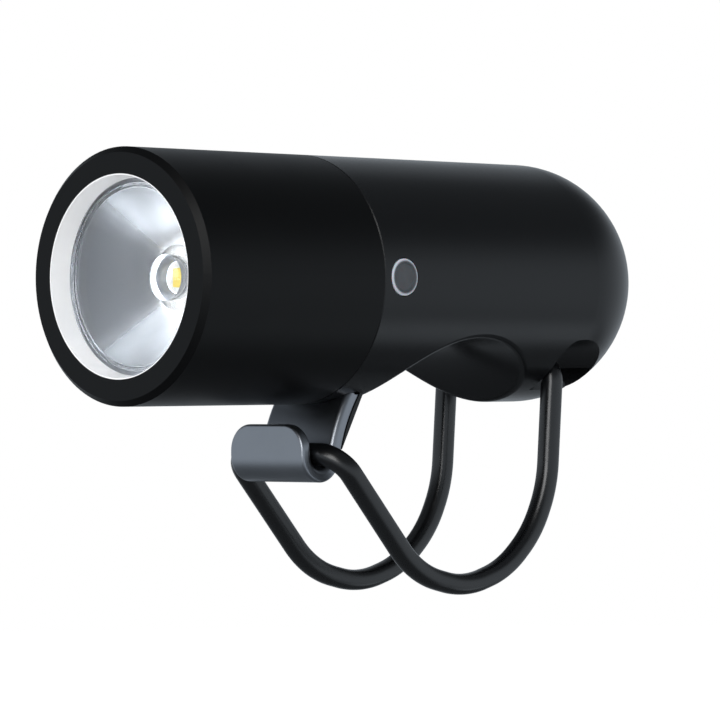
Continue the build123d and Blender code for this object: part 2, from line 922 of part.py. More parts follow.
def build():
    """Makes and writes every piece."""
    os.makedirs("parts", exist_ok=True)
    finish("head_shell", head_shell())
    finish("lens_collar", lens_collar())
    finish("optic", optic())
    finish("lens_seal", lens_seal())
    finish("optic_holder", optic_holder())
    finish("led", led())
    finish("led_board", led_board())
    finish("board_screw_left", board_screw(screw_places()[0]))
    finish("board_screw_right", board_screw(screw_places()[1]))
    finish("thermal_pad", disc(thermal_pad_radius, led_board_rear, sink_front))
    finish("heat_sink", heat_sink())
    finish("standoff_upper", standoff(standoff_pitch))
    finish("standoff_lower", standoff(-standoff_pitch))
    finish("driver_board", driver_board())
    finish("inductor", inductor())
    finish("driver_chip", driver_chip())
    finish("board_header", board_header())
    finish("body_shell", body_shell())
    finish("seam_seal", seam_seal())
    finish("strap_hook", strap_hook())
    finish("hook_pin", hook_pin())
    finish("band", band())
    finish("power_button", power_button())
    finish("button_gasket", button_gasket())
    finish("tact_switch", tact_switch())
    finish("switch_plunger", switch_plunger())
    finish("main_board", main_board())
    finish("status_led", status_led())
    finish("charge_chip", charge_chip())
    finish("battery_cell", battery_cell())
    finish("cell_cradle", cell_cradle())
    finish("cell_top_pad", cell_top_pad())
    finish("cell_tab_front", cell_tab(cell_front - tab_thickness))
    finish("cell_tab_rear", cell_tab(cell_rear))
    finish("usb_port", usb_port())
    finish("usb_tongue", usb_tongue())
    finish("port_cover", port_cover())
    finish("cover_anchor", cover_anchor())


build()
print(len(written), "pieces")
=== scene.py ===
"""The looks of a bicycle headlight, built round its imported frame.

The frame gives every rigid piece in its place, in metres. This file gives each of them its
finish, and replaces three of them with finer surfaces: the optic, the push button and the rubber
band. Every new surface is worked out with numpy on a grid of two parameters, one along a profile
or a route and one round it.

In the frame the handlebar's axis is the origin, +X is the side with the button, +Y runs to the
light's rear along its tube, and +Z is up.
"""

import json
from math import cos, pi, radians, sin

import bmesh
import bpy
import numpy as np
from bpy.props import FloatProperty, FloatVectorProperty, PointerProperty
from mathutils import Matrix, Vector


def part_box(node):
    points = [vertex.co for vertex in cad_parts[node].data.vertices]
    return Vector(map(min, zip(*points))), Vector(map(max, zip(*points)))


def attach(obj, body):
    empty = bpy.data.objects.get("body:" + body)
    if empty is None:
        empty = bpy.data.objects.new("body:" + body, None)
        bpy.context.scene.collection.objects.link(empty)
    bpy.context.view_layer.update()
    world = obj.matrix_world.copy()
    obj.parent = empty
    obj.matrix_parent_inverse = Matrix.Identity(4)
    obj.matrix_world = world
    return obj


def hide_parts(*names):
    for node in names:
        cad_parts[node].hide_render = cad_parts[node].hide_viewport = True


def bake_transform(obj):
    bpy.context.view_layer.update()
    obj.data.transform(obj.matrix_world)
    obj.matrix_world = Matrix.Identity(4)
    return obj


bl_info = {
    "name": "Bicycle headlight looks",
    "version": (1, 0, 0),
    "blender": (4, 5, 0),
    "location": "3D View > Sidebar > Headlight",
    "description": "Finishes and fine surfaces of a strap-on bicycle headlight",
    "category": "Object",
}

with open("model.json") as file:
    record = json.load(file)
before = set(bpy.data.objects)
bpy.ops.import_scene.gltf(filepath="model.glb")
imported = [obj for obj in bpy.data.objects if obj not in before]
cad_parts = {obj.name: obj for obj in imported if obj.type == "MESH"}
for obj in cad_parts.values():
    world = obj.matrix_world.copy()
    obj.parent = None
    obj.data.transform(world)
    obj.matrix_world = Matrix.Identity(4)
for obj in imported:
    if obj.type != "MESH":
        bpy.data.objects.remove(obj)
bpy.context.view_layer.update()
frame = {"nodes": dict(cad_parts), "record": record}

MM = 0.001

# Corners closer than this are one point, and edges shorter than the second are left out
SAME_POINT = 0.0005 * MM
NO_EDGE = 0.0001 * MM

# Faces round the optic, round the button, round the band's section, and round the floor
OPTIC_SIDES = 192
BUTTON_SIDES = 96
BAND_SIDES = 40
FLOOR_SIDES = 96

# The longest straight step along each new surface, and the points along the hollow's domed roof
OPTIC_STEP = 0.25 * MM
BUTTON_STEP = 0.15 * MM
BAND_STEP = 0.4 * MM
ROOF_POINTS = 24

# Edges that turn by more than these angles stay sharp
OPTIC_CREASE = radians(30)
BUTTON_CREASE = radians(40)

# The radii of the floor's rings, where it starts to fade out and over what length, its tone, and
# how much light it gives off to the eye
FLOOR_RINGS = (0.02, 0.12, 0.2, 0.42)
FADE_START, FADE_LENGTH = 0.12, 0.30
FLOOR_TONE = (0.8, 0.8, 0.8, 1.0)
FLOOR_LIFT = 0.55

# The lamp in front
LAMP_PLACE = (0.25, -0.75, 0.35)
LAMP_WIDTH = 0.6

# The body's front edge has a painted highlight, for the light its seam catches, over this length, by
# this share of a tone so many times lighter
SEAM_HIGHLIGHT_LENGTH = 0.3 * MM
SEAM_HIGHLIGHT_SHARE = 0.9
SEAM_HIGHLIGHT_LIFT = 12.0


def span(node):
    """The lowest and highest corner of a node, as two arrays in metres."""
    low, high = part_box(node)
    return np.array(low), np.array(high)


# Corners of the band's side view from the bar's axis, as shares of the saddle's radius
BAND_CORNERS = [
    (0.992, -0.140),
    (0.816, -0.494),
    (0.495, -0.770),
    (0.034, -0.898),
    (-0.499, -0.770),
]

# Round soft lights that show in reflections: turn round the tube's axis, tilt away from its rear
# end, half width, and level. A turn of zero is the button's side and 90 degrees is above.
SOFT_LIGHTS = [
    (140.0, 44.4, 18.0, 0.17),
    (-50.0, 44.4, 8.0, 0.7),
]

# The tint of the room in reflections, next to plain white
SOFT_TONE = (0.91, 1.0, 1.09)

# How far the wall round the light reaches up and down in reflections, and where its middle is
HORIZON_REACH, HORIZON_MIDDLE = 0.4, -0.06

# The side that lights what lies behind the optic, and how bright the other side is next to it
LEFT_SIDE = (-0.8, -0.6)
OTHER_SIDE = 0.08

head_low, head_high = span("head_shell")
AXIS_HEIGHT = float(head_low[2] + head_high[2]) / 2


def length(name, description, metres, low=0.0, digits=5):
    """A length that the user may change, shown in Blender's own units."""
    return FloatProperty(
        name=name,
        description=description,
        default=metres,
        min=low,
        precision=digits,
        subtype="DISTANCE",
        unit="LENGTH",
    )


def share(name, description, value, high=1.0):
    """A plain number from zero up."""
    return FloatProperty(
        name=name, description=description, default=value, min=0.0, max=high, subtype="FACTOR"
    )


def turn(name, description, degrees):
    """An angle that the user may change."""
    return FloatProperty(
        name=name,
        description=description,
        default=radians(degrees),
        subtype="ANGLE",
        unit="ROTATION",
    )


def colour(name, description, value):
    """A colour that the user may change, in linear light."""
    return FloatVectorProperty(
        name=name, description=description, default=value, size=3, min=0.0, max=1.0, subtype="COLOR"
    )


class StageSizes(bpy.types.PropertyGroup):
    """Where the camera stands and how the light is set up."""

    camera_turn: turn(
        "Camera turn", "How far the camera stands to the right of the light's front", 44.3966
    )
    camera_rise: turn(
        "Camera rise", "How far the camera looks down, less than zero when it looks up", -0.2551
    )
    camera_roll: turn("Camera roll", "How far the picture is turned", -0.415)
    camera_distance: length(
        "Camera distance", "From the camera to the point that it looks at", 0.49289
    )
    aim_depth: length("Aim depth", "Where the camera looks, along the tube", -0.008073, -1.0)
    aim_height: length("Aim height", "Where the camera looks, above the bar", 0.013484, -1.0)
    lens: FloatProperty(
        name="Lens",
        description="Focal length in millimetres",
        default=202.04,
        min=1.0,
        unit="CAMERA",
    )
    floor_drop: length("Floor drop", "From the band's lowest point to the floor", 0.03)
    ambient: share("Ambient", "How bright the room is to matte surfaces", 1.0, 4.0)
    window: share("Window", "How bright the room is straight through the optic", 4.4, 8.0)
    inside: share("Inside", "How bright the room is to what lies behind the optic", 1.15, 4.0)
    side: share(
        "Side", "How much brighter the room's left is to what lies behind the optic", 6.0, 8.0
    )
    horizon: share("Horizon", "How bright the wall round the light is in reflections", 0.41, 4.0)
    gloom: share("Gloom", "How bright the rest of the room is in reflections", 0.10, 4.0)
    key: FloatProperty(
        name="Key",
        description="Power of the lamp in front, in watts",
        default=3.5,
        min=0.0,
        unit="POWER",
    )


class FinishColours(bpy.types.PropertyGroup):
    """The colours of the finishes that show."""

    head: colour("Head", "Black anodised aluminium", (0.0008, 0.0009, 0.0011))
    body: colour("Body", "Charcoal moulded plastic", (0.0020, 0.0023, 0.0028))
    hook: colour("Hook", "Blasted and anodised aluminium", (0.39, 0.41, 0.445))
    band: colour("Band", "Moulded rubber", (0.0022, 0.0025, 0.0031))
    collar: colour("Collar", "White plastic round the lens", (0.90, 0.925, 0.96))
    holder: colour("Holder", "Nylon behind the optic", (0.32, 0.335, 0.36))
    phosphor: colour("Phosphor", "Yellow face of the light source", (0.88, 0.68, 0.10))
    button: colour("Button", "Translucent grey silicone", (0.038, 0.042, 0.048))


class BandSizes(bpy.types.PropertyGroup):
    """The rubber band's section and route."""

    section: length("Section", "Thickness of the band", 2.56 * MM)
    squareness: FloatProperty(
        name="Squareness",
        description="Two for a round section, more for a squarer one",
        default=2.4,
        min=2.0,
        max=8.0,
        subtype="FACTOR",
    )
    spread: length("Spread", "Between the two legs' centres", 18.0 * MM)
    rear_depth: length("Rear depth", "The rear crossing behind the bar's axis", 17.1 * MM)
    rear_rise: length("Rear rise", "The rear crossing above the bar's axis", 13.01 * MM)
    front_depth: length("Front depth", "The hooked crossing before the bar's axis", 21.0 * MM)
    front_rise: length("Front rise", "The hooked crossing above the bar's axis", 2.27 * MM)
    saddle_radius: length("Saddle radius", "Radius that the route's corners follow", 16.0 * MM)
    rear_bend: length("Rear bend", "Bend at each end of the rear crossing", 2.4 * MM)
    front_bend: length("Front bend", "Bend at each end of the hooked crossing", 3.2 * MM)
    bend_share: share(
        "Bend share", "How much of the shorter run beside a corner its bend takes", 0.46
    )
    held_rise: length(
        "Held rise", "What lies above this height stays put when the band is stretched", 0.5 * MM
    )


class OpticSizes(bpy.types.PropertyGroup):
    """The clear optic."""

    refraction: FloatProperty(
        name="Refraction",
        description="Refractive index of the optic",
        default=1.49,
        min=1.0,
        max=2.5,
        subtype="FACTOR",
    )
    mouth_radius: length("Mouth radius", "Where the cone meets the flange", 11.1 * MM)
    flange: length("Flange", "Thickness of the optic's rim", 2.0 * MM)
    frost: share("Frost", "Roughness of the cone's wall; the face and the hollow are clear", 0.3)
    base_radius: length("Base radius", "The optic's rear end", 3.9 * MM)
    inner_groove: length("Inner groove", "The inner of two fine grooves round the face", 10.45 * MM)
    outer_groove: length("Outer groove", "The outer of two fine grooves round the face", 10.95 * MM)
    cavity_radius: length("Cavity radius", "The hollow over the light source", 2.7 * MM)
    cavity_depth: length("Cavity depth", "How deep the hollow is at its rim", 3.8 * MM)
    cavity_crown: length(
        "Cavity crown",
        "How far the hollow's roof bulges to the rear, less than zero when it is domed",
        -0.8 * MM,
        -2 * MM,
    )
    edge: length("Edge", "Rounding of the optic's edges", 0.12 * MM)


class ButtonSizes(bpy.types.PropertyGroup):
    """The push button."""

    face_radius: length("Face radius", "The part that shows", 2.2 * MM)
    flange: length("Flange", "Thickness of the flange that keeps the button in", 0.6 * MM)
    rim: length("Rim", "Width of the raised edge", 0.42 * MM)
    dish: length("Dish", "How deep the face lies below its edge", 0.14 * MM)
    edge: length("Edge", "Rounding of the raised edge", 0.2 * MM)


def sizes(name):
    """One of this file's groups of settings, read from the scene."""
    return getattr(bpy.context.scene, "headlight_" + name)


class Value:
    """A shader socket that takes part in sums, so that maths reads as an expression."""

    def __init__(self, tree, socket):
        self.tree = tree
        self.socket = socket

    def combine(self, operation, first, second):
        """The result of one operation on two values or numbers."""
        return self.tree.node("ShaderNodeMath", {"operation": operation}, {0: first, 1: second})

    def __add__(self, other):
        return self.combine("ADD", self, other)

    __radd__ = __add__

    def __mul__(self, other):
        return self.combine("MULTIPLY", self, other)

    __rmul__ = __mul__

    def __sub__(self, other):
        return self.combine("SUBTRACT", self, other)

    def __rsub__(self, other):
        return self.combine("SUBTRACT", other, self)

    def __truediv__(self, other):
        return self.combine("DIVIDE", self, other)

    def __pow__(self, other):
        return self.combine("POWER", self, other)

    def over(self, other):
        """One where this value is the greater, and zero elsewhere."""
        return self.combine("GREATER_THAN", self, other)

    def least(self, other):
        """The lesser of this value and another."""
        return self.combine("MINIMUM", self, other)

    def most(self, other):
        """The greater of this value and another."""
        return self.combine("MAXIMUM", self, other)

    def exp(self):
        """The number e to this value."""
        return self.combine("EXPONENT", self, 0.0)

    def fourth_fall(self):
        """Near one while this value is under one, and falling fast to zero past it."""
        square = self * self
        return (square * square * -1.0).exp()

    def sine(self):
        """The sine of this value, in radians."""
        return self.combine("SINE", self, 0.0)


class Tree:
    """A node tree that is being written, for a material or for the world."""

    def __init__(self, owner):
        owner.use_nodes = True
        self.nodes = owner.node_tree.nodes
        self.links = owner.node_tree.links
        self.nodes.clear()

    def node(self, kind, settings=None, inputs=None, output=0):
        """Adds a node, sets its options, then its sockets, and returns one of its outputs."""
        made = self.nodes.new(kind)
        for name, value in (settings or {}).items():
            setattr(made, name, value)
        for name, value in (inputs or {}).items():
            if isinstance(value, Value):
                self.links.new(value.socket, made.inputs[name])
            else:
                made.inputs[name].default_value = value
        return Value(self, made.outputs[output]) if made.outputs else made

    def place(self):
        """Where a point of the surface is, in metres."""
        return self.node("ShaderNodeTexCoord", output="Object")

    def axes(self, vector):
        """The three numbers of a vector."""
        split = self.nodes.new("ShaderNodeSeparateXYZ")
        self.links.new(vector.socket, split.inputs[0])
        return [Value(self, socket) for socket in split.outputs]

    def from_axis(self):
        """How far a point is from the light's axis, and its depth along it, in metres."""
        right, depth, up = self.axes(self.place())
        above = up - AXIS_HEIGHT
        return (right * right + above * above) ** 0.5, depth

    def noise(self, grain, detail=3.0, roughness=0.5):
        """Cloudy noise from zero to one, with patches about as wide as the grain, in metres."""
        inputs = {
            "Vector": self.place(),
            "Scale": 1.0 / grain,
            "Detail": detail,
            "Roughness": roughness,
        }
        return self.node("ShaderNodeTexNoise", {}, inputs)

    def around(self, middle, *parts):
        """A number that varies round its middle with noises, each given with its whole spread."""
        total = middle - sum(spread for noise, spread in parts) / 2
        for noise, spread in parts:
            total = noise * spread + total
        return total

    def mix(self, share_of_second, first, second):
        """A colour between two colours."""
        inputs = {"Factor": share_of_second, 6: (*first, 1.0), 7: (*second, 1.0)}
        return self.node("ShaderNodeMix", {"data_type": "RGBA"}, inputs, 2)

    def bump(self, height, depth, strength=1.0):
        """A normal from a height of zero to one that stands for a depth in metres."""
        return self.node(
            "ShaderNodeBump", {}, {"Height": height, "Distance": depth, "Strength": strength}
        )

    def surface(self, settings, links):
        """The main shader, with constants set on its own sockets, and the material's output."""
        shader = self.node("ShaderNodeBsdfPrincipled", {}, {**settings, **links})
        return self.output(shader)

    def output(self, shader, kind="ShaderNodeOutputMaterial"):
        """Ends the tree with its output node."""
        return self.node(kind, {}, {"Surface": shader})


def material(name, displayed):
    """The material of that name, which the frame may have made, with an empty tree.

    The displayed colour is what the viewport shows.
    """
    made = bpy.data.materials.get(name) or bpy.data.materials.new(name)
    made.diffuse_color = (*displayed, 1.0)
    return made, Tree(made)


def lighter(tone, factor):
    """A colour times a number, no lighter than white."""
    return tuple(min(1.0, part * factor) for part in tone)


def anodised(name, tone, roughness, grain=0.12 * MM, depth=0.004 * MM):
    """Blasted and anodised aluminium seen as a dark satin skin, with faint cloudy variation."""
    made, tree = material(name, tone)
    blast = tree.noise(grain, 2.0)
    cloud = tree.noise(6.0 * MM, 3.0)
    shade = tree.mix(cloud, lighter(tone, 0.85), lighter(tone, 1.18))
    settings = {"Metallic": 0.0, "Specular IOR Level": 0.25}
    links = {
        "Base Color": shade,
        "Roughness": tree.around(roughness, (cloud, 0.06), (blast, 0.03)),
        "Normal": tree.bump(blast, depth),
    }
    tree.surface(settings, links)
    return made


def satin_metal(name, tone, roughness, grain=0.16 * MM, depth=0.006 * MM):
    """Bare or grey anodised metal with a blasted, even satin."""
    made, tree = material(name, tone)
    blast = tree.noise(grain, 2.0)
    cloud = tree.noise(3.0 * MM, 3.0)
    links = {
        "Base Color": tree.mix(cloud, lighter(tone, 0.93), lighter(tone, 1.07)),
        "Roughness": tree.around(roughness, (cloud, 0.07), (blast, 0.05)),
        "Normal": tree.bump(blast, depth),
    }
    tree.surface({"Metallic": 1.0}, links)
    return made


def turned_metal(name, tone, roughness, pitch=0.22 * MM):
    """Turned metal, with fine rings round the light's axis."""
    made, tree = material(name, tone)
    radius, depth = tree.from_axis()
    rings = ((radius + depth) * (2.0 * pi / pitch)).sine() * 0.5 + 0.5
    cloud = tree.noise(2.0 * MM)
    links = {
        "Base Color": tree.mix(cloud, lighter(tone, 0.92), lighter(tone, 1.06)),
        "Roughness": tree.around(roughness, (rings, 0.05), (cloud, 0.08)),
        "Normal": tree.bump(rings, 0.002 * MM),
    }
    tree.surface({"Metallic": 1.0}, links)
    return made


def moulded(name, tone, roughness, specular=0.5, grain=0.14 * MM, depth=0.006 * MM, highlight_to=None):
    """Moulded plastic with a fine spark-etched skin, and a painted highlight on its front edge up to
    a given depth.
    """
    made, tree = material(name, tone)
    etch = tree.noise(grain, 3.0, roughness=0.6)
    cloud = tree.noise(8.0 * MM, 3.0)
    if highlight_to is None:
        shade = tree.mix(cloud, lighter(tone, 0.9), lighter(tone, 1.12))
    else:
        right, along, up = tree.axes(tree.place())
        # Painted highlight: up to the given depth the front edge is lightened, for the light that the
        # seam's rounded edge catches
        pale = cloud * 0.02 + (highlight_to - along).over(0.0) * SEAM_HIGHLIGHT_SHARE
        shade = tree.mix(pale, lighter(tone, 0.99), lighter(tone, SEAM_HIGHLIGHT_LIFT))
    links = {
        "Base Color": shade,
        "Roughness": tree.around(roughness, (etch, 0.06), (cloud, 0.05)),
        "Normal": tree.bump(etch, depth),
    }
    tree.surface({"Specular IOR Level": specular}, links)
    return made


def rubber(name, tone, roughness, specular=0.5, grain=0.3 * MM, depth=0.006 * MM):
    """Moulded rubber: an even skin with a faint bloom that changes its gloss."""
    made, tree = material(name, tone)
    skin = tree.noise(grain, 4.0)
    bloom = tree.noise(4.0 * MM, 4.0)
    links = {
        "Base Color": tree.mix(bloom, lighter(tone, 0.86), lighter(tone, 1.2)),
        "Roughness": tree.around(roughness, (bloom, 0.14), (skin, 0.04)),
        "Normal": tree.bump(skin, depth),
    }
    tree.surface({"Specular IOR Level": specular}, links)
    return made


def clear_plastic(name, refraction):
    """Clear acrylic with a trace of flow lines, polished but for the frosted wall of its cone."""
    made, tree = material(name, (0.9, 0.95, 1.0))
    flow = tree.noise(5.0 * MM, 2.0)
    low, high = span("optic")
    radius, depth = tree.from_axis()
    margin = 0.3 * MM
    behind = (depth - float(low[1])).over(margin)
    wall = behind * radius.over(sizes("optic").base_radius - margin)
    settings = {
        "Base Color": (0.965, 0.98, 1.0, 1.0),
        "Transmission Weight": 1.0,
        "IOR": refraction,
    }
    links = {
        "Roughness": wall * sizes("optic").frost + flow * 0.004,
        "Normal": tree.bump(flow, 0.004 * MM),
    }
    tree.surface(settings, links)
    return made


def translucent_button(name, tone):
    """Grey translucent silicone, with a painted highlight on its raised edge."""
    made, tree = material(name, tone)
    right, depth, up = tree.axes(tree.place())
    low, high = span("power_button")
    middle = (low + high) / 2
    off_depth, off_up = depth - float(middle[1]), up - AXIS_HEIGHT
    radius = (off_depth * off_depth + off_up * off_up) ** 0.5
    flange_width = 0.5 * MM
    face = float(high[2] - low[2]) / 2 - flange_width
    rim_highlight_from, rim_highlight_length = 0.84, 1.0 / 9.0
    # Painted highlight: the raised edge is lightened up to twelve times the tone
    edge = ((radius / face - rim_highlight_from) / rim_highlight_length).most(0.0).least(1.0)
    cloud = tree.noise(0.8 * MM)
    shade = tree.mix(edge * 0.9 + cloud * 0.05, tone, lighter(tone, 12.0))
    settings = {"Subsurface Weight": 0.35, "Subsurface Scale": 0.8 * MM, "Specular IOR Level": 0.5}
    tree.surface(settings, {"Base Color": shade, "Roughness": tree.around(0.32, (cloud, 0.08))})
    return made


def phosphor(name, tone):
    """The yellow phosphor tile, with a fine grain."""
    made, tree = material(name, tone)
    grain = tree.noise(0.08 * MM, 3.0)
    links = {
        "Base Color": tree.mix(grain, lighter(tone, 0.88), lighter(tone, 1.1)),
        "Roughness": tree.around(0.55, (grain, 0.1)),
        "Normal": tree.bump(grain, 0.01 * MM),
    }
    tree.surface({}, links)
    return made


def board(name, mask, print_tone, pitch=1.9 * MM):
    """Solder mask over laminate, with a faint grid of tracks under it."""
    made, tree = material(name, mask)
    right, depth, up = tree.axes(tree.place())
    wave = 2 * pi / pitch
    tracks = ((right * wave).sine() * (depth * wave).sine()).over(0.55)
    weave = tree.noise(0.2 * MM, 2.0)
    links = {
        "Base Color": tree.mix(tracks * 0.6 + weave * 0.2, mask, print_tone),
        "Roughness": tree.around(0.35, (weave, 0.1)),
        "Normal": tree.bump(tracks, 0.02 * MM),
    }
    tree.surface({}, links)
    return made


def finishes():
    """Every finish of the record, by its slot's name."""
    tone = sizes("finish")
    # How deep the body's front edge takes its painted highlight
    highlight_to = float(span("body_shell")[0][1]) + SEAM_HIGHLIGHT_LENGTH
    return {
        "head_anodised": anodised("head_anodised", tone.head, 0.4),
        "collar_white": moulded(
            "collar_white", tone.collar, 0.32, grain=0.4 * MM, depth=0.002 * MM
        ),
        "optic_clear": clear_plastic("optic_clear", sizes("optic").refraction),
        "seal_rubber": rubber("seal_rubber", (0.02, 0.02, 0.02), 0.6),
        "seal_silicone": rubber("seal_silicone", (0.5, 0.51, 0.52), 0.5),
        "holder_white": moulded("holder_white", tone.holder, 0.45, 0.3),
        "led_phosphor": phosphor("led_phosphor", tone.phosphor),
        "board_metal_core": board("board_metal_core", (0.86, 0.86, 0.84), (0.72, 0.72, 0.7)),
        "screw_steel": turned_metal("screw_steel", (0.5, 0.5, 0.51), 0.305),
        "pad_silicone": rubber("pad_silicone", (0.42, 0.43, 0.46), 0.6),
        "sink_aluminium": turned_metal("sink_aluminium", (0.72, 0.72, 0.73), 0.345),
        "board_laminate": board("board_laminate", (0.02, 0.12, 0.05), (0.04, 0.2, 0.08)),
        "chip_black": moulded("chip_black", (0.03, 0.03, 0.03), 0.5),
        "body_charcoal": moulded("body_charcoal", tone.body, 0.25, 0.5, highlight_to=highlight_to),
        "hook_satin_grey": satin_metal("hook_satin_grey", tone.hook, 0.34),
        "band_rubber": rubber("band_rubber", tone.band, 0.28, 0.9, depth=0.002 * MM),
        "button_translucent": translucent_button("button_translucent", tone.button),
        "cell_wrap": rubber("cell_wrap", (0.05, 0.16, 0.42), 0.4),
        "foam_black": moulded("foam_black", (0.02, 0.02, 0.02), 0.9, 0.2, 0.5 * MM, 0.12 * MM),
        "nickel": satin_metal("nickel", (0.62, 0.6, 0.55), 0.3),
        "port_steel": satin_metal("port_steel", (0.6, 0.6, 0.6), 0.25),
        "cover_rubber": rubber("cover_rubber", tone.body, 0.5, 0.5),
    }


def dress(*nodes):
    """Gives nodes of the frame the finish that the record names for them."""
    slots = {row["node"]: row["material_slot"] for row in frame["record"]["subparts"]}
    for node in nodes:
        made = frame["nodes"][node]
        made.data.materials.clear()
        made.data.materials.append(bpy.data.materials[slots[node]])


def grid_faces(rows, columns, closed):
    """The four corners of each face of a grid, which may join up round its columns."""
    row = np.arange(rows - 1)[:, None]
    column = np.arange(columns if closed else columns - 1)[None, :]
    after = (column + 1) % columns
    first, second = row * columns, (row + 1) * columns
    corners = [first + column, first + after, second + after, second + column]
    return np.stack(corners, -1).reshape(-1, 4)


def make_piece(name, points, faces, slot, body=None, sharp=None):
    """A mesh from arrays of points and faces, with its finish and, if any, the body it rides on."""
    mesh = bpy.data.meshes.new(name)
    mesh.from_pydata(points.reshape(-1, 3).tolist(), [], faces.tolist())
    mesh.validate()
    mesh.shade_smooth()
    piece = bpy.data.objects.new(name, mesh)
    bpy.context.scene.collection.objects.link(piece)
    clean(mesh)
    if sharp is not None:
        mesh.set_sharp_from_angle(angle=sharp)
    mesh.materials.append(bpy.data.materials[slot])
    if body is not None:
        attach(piece, body)
    return piece


def clean(mesh):
    """Merges doubled points, drops flat faces and points all faces outwards."""
    work = bmesh.new()
    work.from_mesh(mesh)
    bmesh.ops.remove_doubles(work, verts=work.verts, dist=SAME_POINT)
    bmesh.ops.dissolve_degenerate(work, dist=NO_EDGE, edges=work.edges)
    bmesh.ops.recalc_face_normals(work, faces=work.faces)
    work.to_mesh(mesh)
    work.free()


def lathe(profile, around, origin, axis):
    """A profile of (radius, along) turned about an axis through the origin.

    The point at angle t is origin + along * axis + radius * (cos t * u + sin t * v), where u and v
    are square to the axis. Profile points on the axis close the shape.
    """
    axis = np.array(axis, float)
    side = np.array((0.0, 0.0, 1.0))
    other = np.cross(axis, side)
    angle = np.arange(around) * (2 * pi / around)
    ring = np.cos(angle)[:, None] * other + np.sin(angle)[:, None] * side
    radius, along = profile[:, 0], profile[:, 1]
    points = np.array(origin) + along[:, None, None] * axis + radius[:, None, None] * ring[None]
    return points, grid_faces(len(profile), around, True)


def filled(line, step):
    """The same line with more points on its straight runs, none further apart than the step."""
    out = [line[:1]]
    for start, end in zip(line, line[1:]):
        count = max(1, int(np.ceil(np.linalg.norm(end - start) / step)))
        out.append(start + (end - start) * (np.arange(1, count + 1) / count)[:, None])
    return np.concatenate(out)


def rounded(points, radii, step):
    """A route through points with its corners rounded by arcs, in two or three dimensions.

    Each corner is cut back along both sides by radius * tan(turn / 2). The arc at angle t from the
    first cut is centre - radius * cos t * inward + radius * sin t * along, where along is the first
    side's direction and inward is square to it, towards the second side.
    """
    points = np.array(points, float)
    out = [points[:1]]
    for before, corner, after, radius in zip(points, points[1:], points[2:], radii):
        first, second = corner - before, after - corner
        reach = min(np.linalg.norm(first), np.linalg.norm(second)) / 2
        along, leave = first / np.linalg.norm(first), second / np.linalg.norm(second)
        bend = np.arccos(np.clip(along @ leave, -1, 1))
        size = min(radius, reach / np.tan(bend / 2))
        inward = leave - (leave @ along) * along
        inward /= np.linalg.norm(inward)
        start = corner - along * size * np.tan(bend / 2)
        t = np.linspace(0, bend, max(4, int(size * bend / step) + 2))[:, None]
        out.append(start + inward * size - size * np.cos(t) * inward + size * np.sin(t) * along)
    out.append(points[-1:])
    return np.concatenate(out)


def notch(radius, along, width):
    """A fine V-shaped groove in a flat face, as three points of a profile."""
    return [(radius - width, along), (radius, along + width), (radius + width, along)]


class HEADLIGHT_OT_finishes(bpy.types.Operator):
    """Makes every finish as a procedural material"""

    bl_idname = "headlight.finishes"
    bl_label = "Make finishes"

    def execute(self, context):
        finishes()
        return {"FINISHED"}


class HEADLIGHT_OT_head(bpy.types.Operator):
    """Dresses the turned head, its white collar and the lens seal"""

    bl_idname = "headlight.head"
    bl_label = "Dress head"

    def execute(self, context):
        dress("head_shell", "lens_collar", "lens_seal")
        return {"FINISHED"}


class HEADLIGHT_OT_optic(bpy.types.Operator):
    """Makes the clear optic as a turned surface with softened edges"""

    bl_idname = "headlight.optic"
    bl_label = "Make optic"

    def execute(self, context):
        size = sizes("optic")
        low, high = span("optic")
        front, rear = float(low[1]), float(high[1])
        flange_radius = float(high[0] - low[0]) / 2
        cavity_top = rear - size.cavity_depth
        grooves = [
            *notch(size.inner_groove, front, size.edge),
            *notch(size.outer_groove, front, size.edge),
        ]
        edges = [
            (flange_radius, front),
            (flange_radius, front + size.flange),
            (size.mouth_radius, front + size.flange),
            (size.base_radius, rear),
            (size.cavity_radius, rear),
        ]
        outline = rounded(
            [(0.0, front), *grooves, *edges, (size.cavity_radius, cavity_top)],
            [size.edge / 4] * len(grooves) + [size.edge] * len(edges),
            size.edge / 4,
        )
        outline = filled(outline, OPTIC_STEP)
        crown_radius = (size.cavity_radius**2 + size.cavity_crown**2) / (2 * size.cavity_crown)
        bend = np.linspace(np.arcsin(size.cavity_radius / crown_radius), 0, ROOF_POINTS)
        crown_top = cavity_top + size.cavity_crown
        crown_along = crown_top - crown_radius * (1 - np.cos(bend))
        crown = np.stack([crown_radius * np.sin(bend), crown_along], -1)
        profile = np.concatenate([outline, crown[1:]])
        points, faces = lathe(profile, OPTIC_SIDES, (0.0, 0.0, AXIS_HEIGHT), (0.0, 1.0, 0.0))
        piece = make_piece("optic_body", points, faces, "optic_clear", "light", OPTIC_CREASE)
        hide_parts("optic")
        return {"FINISHED"}


class HEADLIGHT_OT_light_source(bpy.types.Operator):
    """Dresses the light source, its board and screws, the optic's holder and the heat sink"""

    bl_idname = "headlight.light_source"
    bl_label = "Dress light source"

    def execute(self, context):
        screws = ["board_screw_left", "board_screw_right"]
        dress("optic_holder", "led", "led_board", *screws, "thermal_pad", "heat_sink")
        return {"FINISHED"}


